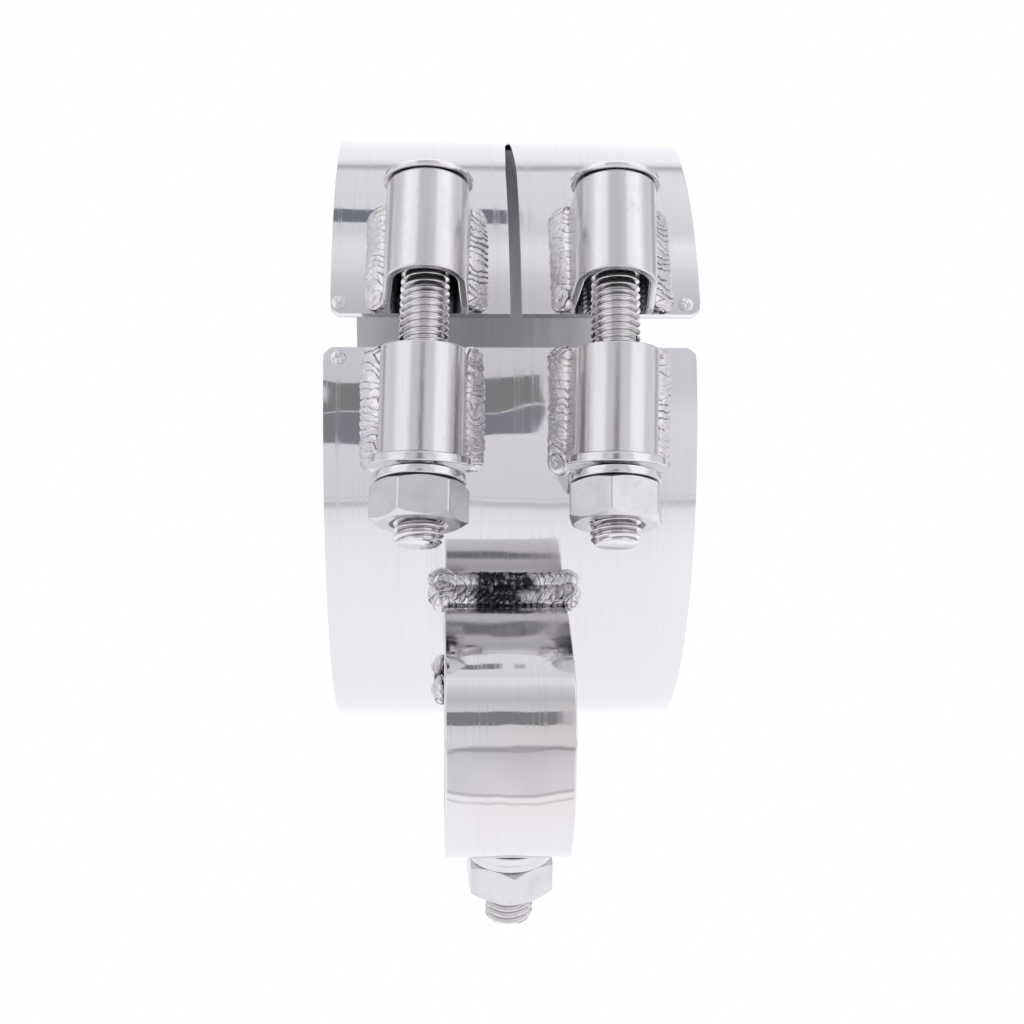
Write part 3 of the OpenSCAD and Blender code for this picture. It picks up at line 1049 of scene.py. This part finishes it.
# Joins discs into one skin, and roughens it
def meltTogether(discs, name, sizes):
    bead = joinAll(discs, name)
    modify(bead, "REMESH", mode="VOXEL", voxel_size=sizes["voxel"])
    clouds = bpy.data.textures.new(name, "CLOUDS")
    clouds.noise_scale = 0.0016
    clouds.noise_depth = 2
    modify(bead, "DISPLACE", texture=clouds, strength=sizes["roughness"], texture_coords="LOCAL")
    modify(bead, "SMOOTH", factor=0.5, iterations=1)
    makeActive(bead)
    bpy.ops.object.shade_smooth()
    return bead


# A bead beside one leg, laid from one angle on the band to another, ending in a round blob
def saddleBead(name, x, edge, start, end, seed, blob):
    sizes = beadSizes
    random.seed(seed)
    travel = 1 if end > start else -1
    run = abs(end - start) * pi / 180 * bandRadius
    count = int(run / sizes["step"])
    discs = []
    for number in range(count + 1):
        degrees = start + (end - start) * (number / count)
        outward = onBand(0, 1, degrees)
        along = travel * Vector((0, sin(radians(degrees)), cos(radians(degrees))))
        facing = (outward * random.uniform(0.73, 0.78) + Vector((edge * sizes["lean"], 0, 0))).normalized()
        corner = onBand(x, bandRadius, degrees)
        swell = random.uniform(0.92, 1.05)
        size = Vector((sizes["across"] * swell, sizes["along"], sizes["thick"]))
        discs.append(layDisc(corner + facing * sizes["off"], along, facing, size))
        core = Vector(sizes["core"]) * swell
        discs.append(layDisc(corner + facing * sizes["coreOff"], along, facing, core))
    last = onBand(x, bandRadius, end) + facing * sizes["blobOff"]
    discs.append(layDisc(last, along, facing, Vector(sizes["blob"]) * mm * blob))
    bead = meltTogether(discs, name, sizes)

    def seam(spot):
        degrees = atan2(spot.z, -spot.y) * 180 / pi
        rise = sqrt(spot.y ** 2 + spot.z ** 2) - bandRadius
        return abs(degrees - start) * pi / 180 * bandRadius, (edge * (spot.x - x) - rise) * 0.72
    ripple(bead, seam, run, sizes["ripple"])
    return bead


saddleDepth = sqrt(boltLine ** 2 + (boltSizes["headSeat"] - saddleSizes["length"] / 2) ** 2) - bandRadius
legReach = saddleSizes["radius"] + saddleDepth * tan(radians(saddleSizes["splay"]))
beadFrom = beadSizes["gapInset"]
beadTo = (saddleSizes["length"] + beadSizes["overrun"]) / bandRadius * 180 / pi - beadSizes["tipInset"]
upperFrom, upperTo = bandSizes["highEnd"] + beadFrom, bandSizes["highEnd"] + beadTo
lowerFrom, lowerTo = bandSizes["lowEnd"] - beadFrom, bandSizes["lowEnd"] - beadTo
upperRise = boltSizes["headSeat"] - saddleSizes["length"] / 2
lowerRise = saddleSizes["length"] / 2 - boltSizes["washerDrop"]

# Which way each bead was laid, and the size of its last blob, as they look on the real clamp
beadRuns = {
    ("upper", "left", left): (upperTo, upperFrom, 0.8),
    ("upper", "left", right): (upperFrom, upperTo, 1.05),
    ("upper", "right", left): (upperTo, upperFrom, 1.0),
    ("upper", "right", right): (upperFrom, upperTo, 0.85),
    ("lower", "left", left): (lowerFrom, lowerTo, 0.95),
    ("lower", "left", right): (lowerTo, lowerFrom, 0.95),
    ("lower", "right", left): (lowerFrom, lowerTo, 1.2),
    ("lower", "right", right): (lowerTo, lowerFrom, 0.8),
}

for side, sideName in sides:
    for level, rise, levelSeed in (("upper", upperRise, 5), ("lower", lowerRise, 9)):
        x = boltSizes["offset"] + side * boltSizes["spacing"] / 2 + rise * tan(radians(boltSizes["lean"]))
        beads = []
        for edge in (left, right):
            seed = 7 * len(beads) + 31 * side + levelSeed
            start, end, blob = beadRuns[level, sideName, edge]
            beads.append(saddleBead("bead", x + edge * legReach, edge, start, end, seed, blob))
        welds = joinAll(beads, f"beads_{level}_{sideName}")
        handIn(welds, "clamp", beadSteel, "weld_bead", f"welds_{level}_{sideName}")
print("saddle beads laid")


loopBeadSizes = {
    "radius": 3.9 * mm,
    "step": 1.1 * mm,
    "lens": (3.0, 2.2, 1.2),    # the discs' sizes are in mm
    "core": (3.3, 1.8, 2.4),
    "toe": (2.6, 2.0, 1.1),
    "tip": (3.2, 2.9, 2.3),
    "drip": (2.9, 2.2, 2.2),
    "toeTurn": 1.6,             # degrees up the band from the bead's middle
    "voxel": 0.14 * mm,
    "roughness": 0.08 * mm,
    "ripple": 0.42 * mm,
}


# The bead in a crevice between the loop and the band, laid along X
def loopBead(name, degrees, start, end, seed, node):
    sizes = loopBeadSizes
    random.seed(seed)
    travel = 1 if end > start else -1
    along = Vector((travel, 0, 0))
    # the way out of the crevice, along the band's tangent where the loop touches it
    lift = 1 if degrees > loopSizes["angle"] else -1
    out = lift * Vector((0, sin(radians(loopSizes["angle"])), cos(radians(loopSizes["angle"]))))
    middleLine = onBand(0, bandRadius + 0.74 * sizes["radius"], degrees)
    toeFacing = (onBand(0, 1, degrees) * 0.85 + out * 0.5).normalized()
    toeAt = onBand(0, bandRadius + 0.9 * mm, degrees + lift * sizes["toeTurn"])
    count = int(abs(end - start) / sizes["step"])
    discs = []
    for number in range(count + 1):
        x = Vector((start + (end - start) * (number / count), 0, 0))
        swell = random.uniform(0.94, 1.04)
        lensOff = random.uniform(1.2, 1.4) * mm
        for spot, facing, size in ((middleLine + x + out * lensOff, out, sizes["lens"]),
                                   (middleLine + x + out * 0.2 * mm, out, sizes["core"]),
                                   (toeAt + x, toeFacing, sizes["toe"])):
            discs.append(layDisc(spot, along, facing, Vector(size) * mm * swell))
    down = along.cross(out)
    down = down if down.z < 0 else -down
    for tip, share, drop in ((end, 1.0, 1.6), (start, 0.85, 1.2)):
        spot = middleLine + Vector((tip, 0, 0)) + out * 1.3 * mm
        discs.append(layDisc(spot, along, out, Vector(sizes["tip"]) * mm * share))
        discs.append(layDisc(spot + down * drop * mm, along, out, Vector(sizes["drip"]) * mm * share))
    bead = meltTogether(discs, name, sizes)

    def seam(spot):
        rise = sqrt(spot.y ** 2 + spot.z ** 2) - bandRadius
        return travel * (spot.x - start), rise - 0.6 * sizes["radius"]
    ripple(bead, seam, abs(end - start), sizes["ripple"])
    handIn(bead, "clamp", burntBeadSteel, "tinted_weld", node)


loopBead("loopBead_front", -29.3, 11.8 * mm, -14.6 * mm, 4, "loop_weld_front")
loopBead("loopBead_back", -51.4, -14.4 * mm, 11.6 * mm, 8, "loop_weld_back")
print("loop beads laid")


tackSizes = {
    "inset": 2.4 * mm,          # from the corner's two edges
    "dot": (1.6, 1.6, 0.32),    # in mm, as the grains
    "grain": (0.5, 0.6, 0.3),
    "grains": 5,
    "spread": 0.8,
    "voxel": 0.09 * mm,
    "roughness": 0.05 * mm,
}


# Small tack dots near three corners of the band's ends
def makeTacks():
    sizes = tackSizes
    inset, spread = sizes["inset"], sizes["spread"]
    turn = inset / bandRadius * 180 / pi
    high, low = bandSizes["highEnd"] + turn, bandSizes["lowEnd"] - turn
    discs = []
    for side, degrees in ((left, high), (right, high), (left, low)):
        outward = onBand(0, 1, degrees)
        along = Vector((0, sin(radians(degrees)), cos(radians(degrees))))
        spot = onBand(side * (bandSizes["width"] / 2 - inset), bandRadius, degrees)
        discs.append(layDisc(spot, along, outward, Vector(sizes["dot"]) * mm))
        for number in range(sizes["grains"]):
            off = Vector((random.uniform(-spread, spread) * mm, 0, 0))
            off = off + along * random.uniform(-spread, spread) * mm + outward * 0.12 * mm
            discs.append(layDisc(spot + off, along, outward, Vector(sizes["grain"]) * mm))
    return meltTogether(discs, "tackDots", sizes)


handIn(makeTacks(), "clamp", beadSteel, "weld_bead", "corner_tacks")
bpy.data.objects.remove(discPattern)
print("tack dots made")


# The studio

studio = {
    "floorZ": -0.1035,
    "floorFront": -0.245,           # its front edge shows as a line low on the band
    "worldLevel": 1.3,
    "behindShade": 0.6,
    "besideShade": 0.35,
    "rightLift": 0.08,              # a little more light comes from the right
    "tint": (1.0, 0.982, 1.04),     # of the light that the clamp gets
    "white": (1.0, 1.0, 1.0),       # what the camera sees behind it
    # the sky round the X axis: 0 straight down, 0.25 towards the camera, 0.5 up, 0.75 behind the clamp
    "sky": [(0.0, 0.90), (0.164, 0.615), (0.25, 0.646), (0.311, 0.546), (0.336, 0.57), (0.375, 0.485),
            (0.402, 0.54), (0.422, 0.592), (0.439, 0.69), (0.461, 0.73), (0.478, 0.62), (0.506, 0.66),
            (0.55, 0.69), (0.583, 0.68), (0.593, 0.36), (0.603, 0.70), (0.614, 0.80), (0.667, 0.83),
            (0.75, 0.85)],
    # the floor from its front edge to under the bore's middle
    "strips": [(0.0, 0.50), (0.03, 0.63), (0.055, 0.63), (0.075, 0.47), (0.12, 0.55), (0.16, 0.70),
               (0.33, 0.78), (0.50, 0.82), (0.75, 0.84), (1.0, 0.84)],
}

# What stood before and above the clamp, and shows as dark bars in the polish: corners and colour
darkCards = {
    "lensCard": ([(-0.054, -0.245, -0.027), (0.017, -0.245, -0.010), (-0.054, -0.245, 0.019),
                  (0.017, -0.245, 0.019)], (0.25, 0.255, 0.29)),
    "standCard": ([(-0.080, -0.60, 0.054), (0.040, -0.60, 0.054), (-0.080, -0.60, 0.205),
                   (0.040, -0.60, 0.214)], (0.25, 0.245, 0.25)),
    "topCard": ([(-0.070, -0.076, 0.40), (0.012, -0.076, 0.40), (-0.070, -0.027, 0.40),
                 (0.012, -0.027, 0.40)], (0.21, 0.22, 0.27)),
}


# A card or a floor: plain light of its own for the camera and for reflections, nothing else
def stageCard(name, corners, colour, seenByCamera=False):
    deselectAll()
    bpy.ops.mesh.primitive_plane_add(size=2)
    card = nameNew(name)
    for corner, spot in zip(card.data.vertices, corners):
        corner.co = spot
    material, graph = newMaterial(name)
    graph.finish(graph.add("ShaderNodeEmission", None, {"Color": colour, "Strength": 1.0}))
    card.data.materials.append(material)
    card.visible_camera = seenByCamera
    card.visible_shadow = card.visible_diffuse = False
    return card


def makeWorld():
    world = bpy.data.worlds.new("studioWorld")
    bpy.context.scene.world = world
    world.use_nodes = True
    graph = Graph(world.node_tree)
    toward = graph.add("ShaderNodeTexCoord", None, None, "Generated")
    x, y, z = (graph.add("ShaderNodeSeparateXYZ", None, {"Vector": toward}, axis) for axis in "XYZ")
    angle = y.math("ARCTAN2", z, y * -1) / (2 * pi) + 0.25
    sky = graph.add("ShaderNodeValToRGB", {"stops": studio["sky"]}, {"Fac": angle.math("FRACT", angle + 1)})
    seen = graph.add("ShaderNodeLightPath", None, None, "Is Camera Ray")
    behind = abs(x).step(0.35, 0.75) * y.step(-0.30, 0.15)
    behind = behind + (1 - behind) * abs(x).step(0.93, 0.98) * 0.7
    tinted = graph.add("ShaderNodeMix", {"data_type": "RGBA", "blend_type": "MULTIPLY"},
                       {0: 1.0, 6: sky, 7: studio["tint"]}, 2)
    shown = graph.mix(seen, tinted, studio["white"])
    toRight = x.step(0.08, 0.17) * studio["rightLift"] + 1
    level = seen + (1 - seen) * toRight * (1 - behind * studio["behindShade"]) * studio["worldLevel"]
    light = graph.add("ShaderNodeBackground", None, {"Color": shown, "Strength": level})
    graph.finish(light, "ShaderNodeOutputWorld")


def makeFloor():
    z, front = studio["floorZ"], studio["floorFront"]
    floor = stageCard("paleFloor", [(-1.5, front, z), (1.5, front, z), (-1.5, 2.0, z), (1.5, 2.0, z)],
                      studio["white"], True)
    graph = Graph(floor.data.materials[0].node_tree)
    inputs = {"Value": graph.axis("Y"), "From Min": front, "From Max": 0.0}
    back = graph.add("ShaderNodeMapRange", None, inputs)
    strips = graph.add("ShaderNodeValToRGB", {"stops": studio["strips"]}, {"Fac": back})
    grey = graph.add("ShaderNodeRGBToBW", None, {"Color": strips})
    seen = graph.add("ShaderNodeLightPath", None, None, "Is Camera Ray")
    toRight = graph.axis("X").step(0.03, 0.07) * studio["rightLift"] + 1
    beside = abs(graph.axis("X")).step(0.11, 0.35)
    level = seen + (1 - seen) * grey * toRight * (1 - beside * studio["besideShade"]) * studio["worldLevel"]
    shade = graph.mix(seen, studio["tint"], studio["white"])
    glow = graph.add("ShaderNodeEmission", None, {"Color": shade, "Strength": level})
    # from below the floor lets the view through, so that the underside can be looked at
    below = graph.add("ShaderNodeNewGeometry", None, None, "Backfacing")
    clear = graph.add("ShaderNodeBsdfTransparent")
    graph.finish(graph.add("ShaderNodeMixShader", None, {0: below, 1: glow, 2: clear}))


softbox = {
    "spot": (0.58, -0.155, 0.50),   # of the right one
    "wide": 1.12,
    "high": 1.30,
    "level": 0.40,
}


# A large soft lamp that faces the other one over the clamp
def addSoftbox(name, side):
    x, y, z = softbox["spot"]
    deselectAll()
    bpy.ops.object.light_add(type="AREA", location=(side * x, y, z))
    lamp = bpy.context.object
    lamp.name = name
    lamp.data.shape = "RECTANGLE"
    lamp.data.size, lamp.data.size_y = softbox["wide"], softbox["high"]
    lamp.data.energy = softbox["level"] * pi * softbox["wide"] * softbox["high"]
    lamp.rotation_euler = Vector((-side * x, -y, 0)).to_track_quat("-Z", "Y").to_euler()
    lamp.visible_camera = False


makeWorld()
makeFloor()
for name, (corners, colour) in darkCards.items():
    stageCard(name, corners, colour)
for side, sideName in sides:
    addSoftbox(f"{sideName}Softbox", side)

camera = {
    "place": (-15.2 * mm, -414.9 * mm, 0.0),
    "yaw": 0.0429,      # radians, towards +X
    "pitch": -0.0477,
    "roll": 0.0033,
    "lens": 60.08,
}


def makeCamera():
    deselectAll()
    bpy.ops.object.camera_add(location=camera["place"])
    view = bpy.context.object
    view.name = "photoCamera"
    yaw, pitch, roll = camera["yaw"], camera["pitch"], camera["roll"]
    ahead = Vector((sin(yaw) * cos(pitch), cos(yaw) * cos(pitch), sin(pitch)))
    across = Vector((cos(yaw), -sin(yaw), 0))
    up = across.cross(ahead)
    across, up = across * cos(roll) + up * sin(roll), up * cos(roll) - across * sin(roll)
    view.rotation_mode = "QUATERNION"
    view.rotation_quaternion = Matrix((across, up, -ahead)).transposed().to_quaternion()
    view.data.sensor_width = 36
    view.data.lens = camera["lens"]
    view.data.clip_start = 0.01
    bpy.context.scene.camera = view


makeCamera()
bpy.context.scene.view_settings.view_transform = "Standard"
print("studio lit")
